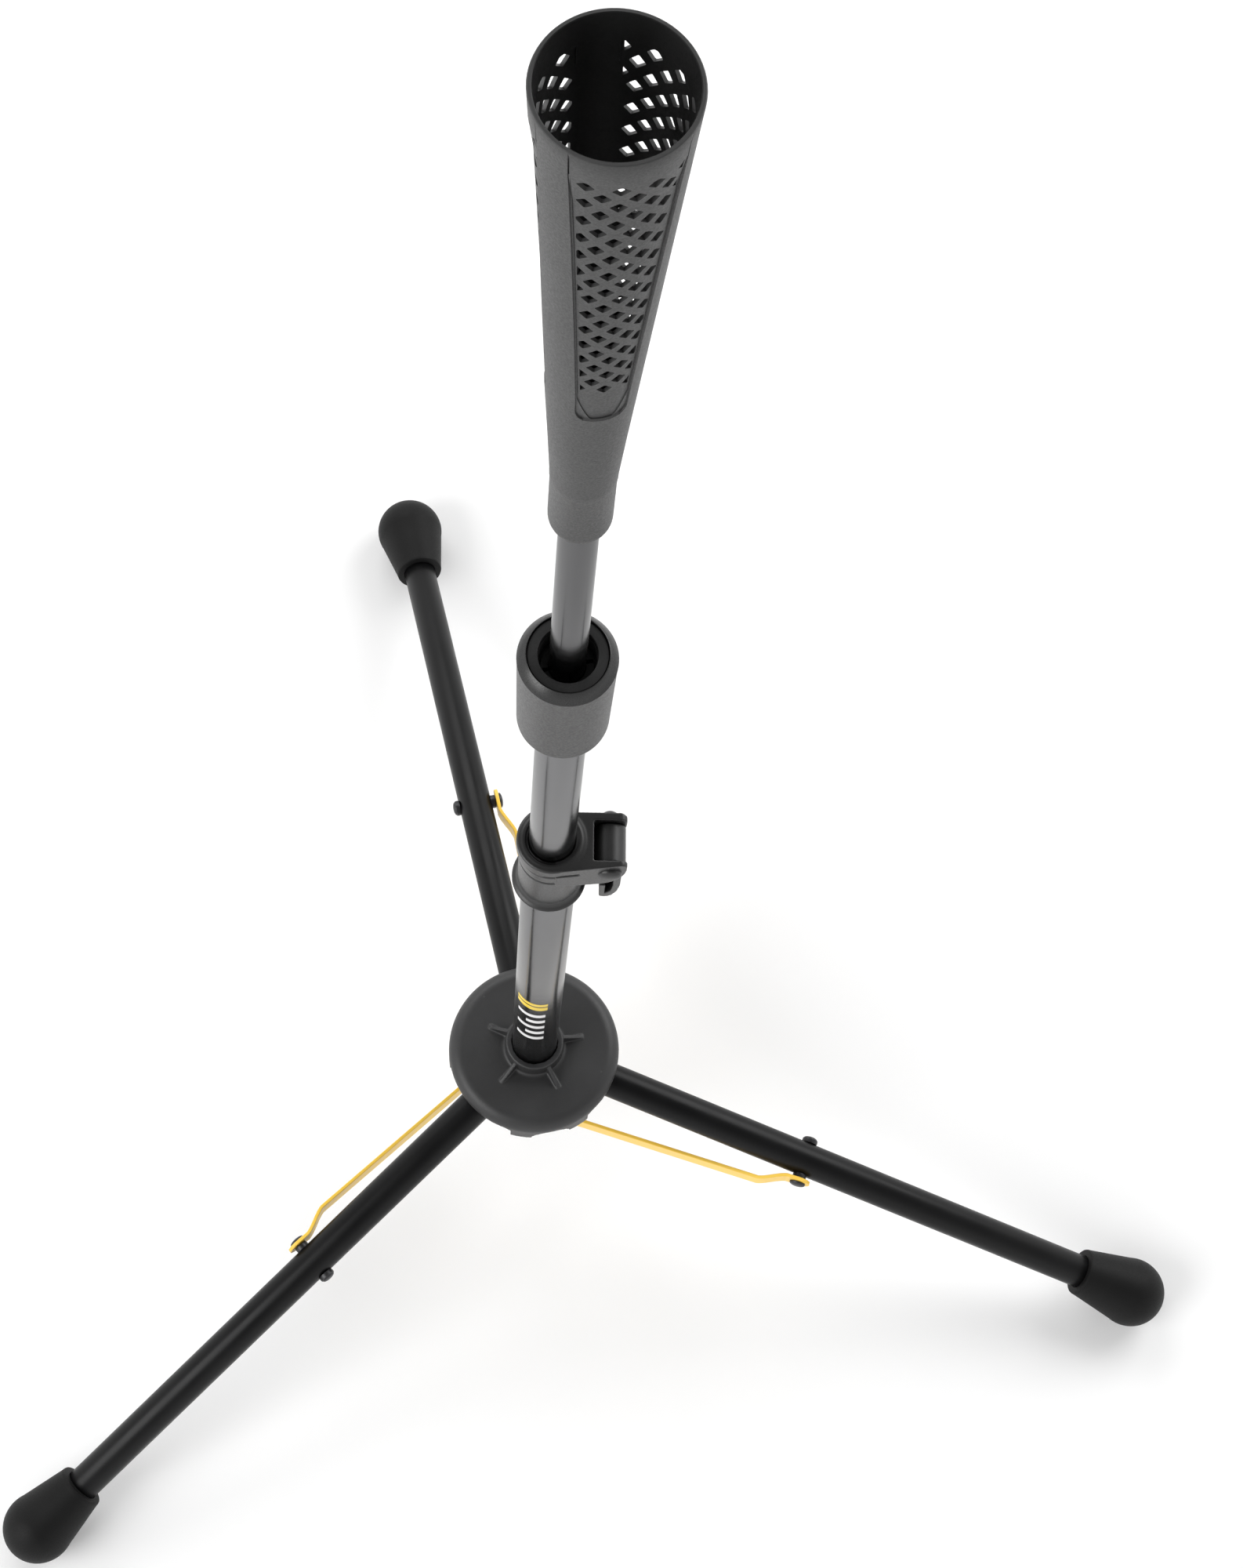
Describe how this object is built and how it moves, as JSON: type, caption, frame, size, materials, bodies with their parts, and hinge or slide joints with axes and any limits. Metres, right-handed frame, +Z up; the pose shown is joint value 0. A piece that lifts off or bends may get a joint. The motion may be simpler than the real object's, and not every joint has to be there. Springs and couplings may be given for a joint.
{
  "type": "batting tee",
  "caption": "Height-adjustable batting tee: folding tripod, telescoping pole with a cam clamp and a twist collar, and a flexible mesh cup that holds the ball.",
  "frame": {"origin": "on the pole axis at floor level", "axes": "+Z up along the pole; leg 1 points along +Y; legs numbered clockwise from above"},
  "size_m": [0.7026, 0.6139, 1.174],
  "materials": {
    "aluminium_tube": "satin gunmetal anodised tube",
    "leg_paint": "semi-gloss black powder coat",
    "strut_paint": "yellow enamel on flat steel bar",
    "moulded_nylon": "satin black moulded nylon with fine grain",
    "foot_rubber": "smooth matte black rubber",
    "cup_rubber": "matte charcoal rubber with fine grain",
    "black_steel": "blackened steel fastener"
  },
  "bodies": {
    "pole_base": {"hub_cap": "moulded_nylon", "hub_core": "moulded_nylon", "hub_screw_1": "black_steel", "hub_screw_2": "black_steel", "hub_screw_3": "black_steel", "post_cap": "moulded_nylon", "lower_tube": "aluminium_tube", "clamp_body": "moulded_nylon", "clamp_liner": "moulded_nylon", "clamp_pin": "black_steel", "clamp_pin_cap": "black_steel", "leg_pin_1": "black_steel", "leg_pin_2": "black_steel", "leg_pin_3": "black_steel"},
    "leg_1": {"leg_tube_1": "leg_paint", "leg_hinge_1": "moulded_nylon", "foot_1": "foot_rubber", "strut_bolt_1": "black_steel", "strut_spacer_1": "black_steel", "strut_nut_1": "black_steel"},
    "strut_1": {"strut_1": "strut_paint", "runner_rivet_1": "black_steel"},
    "leg_2": {"leg_tube_2": "leg_paint", "leg_hinge_2": "moulded_nylon", "foot_2": "foot_rubber", "strut_bolt_2": "black_steel", "strut_spacer_2": "black_steel", "strut_nut_2": "black_steel"},
    "strut_2": {"strut_2": "strut_paint", "runner_rivet_2": "black_steel"},
    "leg_3": {"leg_tube_3": "leg_paint", "leg_hinge_3": "moulded_nylon", "foot_3": "foot_rubber", "strut_bolt_3": "black_steel", "strut_spacer_3": "black_steel", "strut_nut_3": "black_steel"},
    "strut_3": {"strut_3": "strut_paint", "runner_rivet_3": "black_steel"},
    "strut_runner": {"strut_runner": "moulded_nylon"},
    "middle_section": {"middle_tube": "aluminium_tube", "middle_tube_bush": "moulded_nylon", "collar_socket": "moulded_nylon", "collet": "moulded_nylon"},
    "twist_collar": {"twist_collar": "cup_rubber", "collar_ring": "moulded_nylon"},
    "upper_section": {"upper_tube": "aluminium_tube", "upper_tube_bush": "moulded_nylon", "ball_cup": "cup_rubber"},
    "clamp_lever": {"clamp_lever": "moulded_nylon"}
  },
  "joints": [
    {"name": "leg_1_fold", "type": "hinge", "parent": "pole_base", "child": "leg_1", "pos_m": [0, 0.028, 0.13766], "axis": [-1, 0, 0], "range_deg": [0, 66]},
    {"name": "strut_1_swing", "type": "hinge", "parent": "leg_1", "child": "strut_1", "pos_m": [0, 0.168, 0.09097], "axis": [-1, 0, 0], "range_deg": [0, 19.9]},
    {"name": "leg_2_fold", "type": "hinge", "parent": "pole_base", "child": "leg_2", "pos_m": [0.02425, -0.014, 0.13766], "axis": [0.5, 0.866, 0], "range_deg": [0, 66]},
    {"name": "strut_2_swing", "type": "hinge", "parent": "leg_2", "child": "strut_2", "pos_m": [0.14549, -0.084, 0.09097], "axis": [0.5, 0.866, 0], "range_deg": [0, 19.9]},
    {"name": "leg_3_fold", "type": "hinge", "parent": "pole_base", "child": "leg_3", "pos_m": [-0.02425, -0.014, 0.13766], "axis": [0.5, -0.866, 0], "range_deg": [0, 66]},
    {"name": "strut_3_swing", "type": "hinge", "parent": "leg_3", "child": "strut_3", "pos_m": [-0.14549, -0.084, 0.09097], "axis": [0.5, -0.866, 0], "range_deg": [0, 19.9]},
    {"name": "runner_slide", "type": "slide", "parent": "pole_base", "child": "strut_runner", "axis": [0, 0, 1], "range_m": [0, 0.0415]},
    {"name": "middle_tube_slide", "type": "slide", "parent": "pole_base", "child": "middle_section", "axis": [0, 0, 1], "range_m": [-0.15, 0.08]},
    {"name": "collar_twist", "type": "hinge", "parent": "middle_section", "child": "twist_collar", "pos_m": [0, 0, 0.745], "axis": [0, 0, 1], "range_deg": [0, 90]},
    {"name": "upper_tube_slide", "type": "slide", "parent": "middle_section", "child": "upper_section", "axis": [0, 0, 1], "range_m": [-0.118, 0.05]},
    {"name": "clamp_lever_swing", "type": "hinge", "parent": "pole_base", "child": "clamp_lever", "pos_m": [0.02557, -0.00571, 0.5375], "axis": [-0.2181, -0.9759, 0], "range_deg": [0, 100]}
  ],
  "couplings": [
    {"joint": "strut_1_swing", "follows": "leg_1_fold", "ratio": 0.29909},
    {"joint": "leg_2_fold", "follows": "leg_1_fold", "ratio": 1},
    {"joint": "strut_2_swing", "follows": "leg_1_fold", "ratio": 0.29909},
    {"joint": "leg_3_fold", "follows": "leg_1_fold", "ratio": 1},
    {"joint": "strut_3_swing", "follows": "leg_1_fold", "ratio": 0.29909},
    {"joint": "runner_slide", "follows": "leg_1_fold", "m_per_rad": 0.03574}
  ]
}
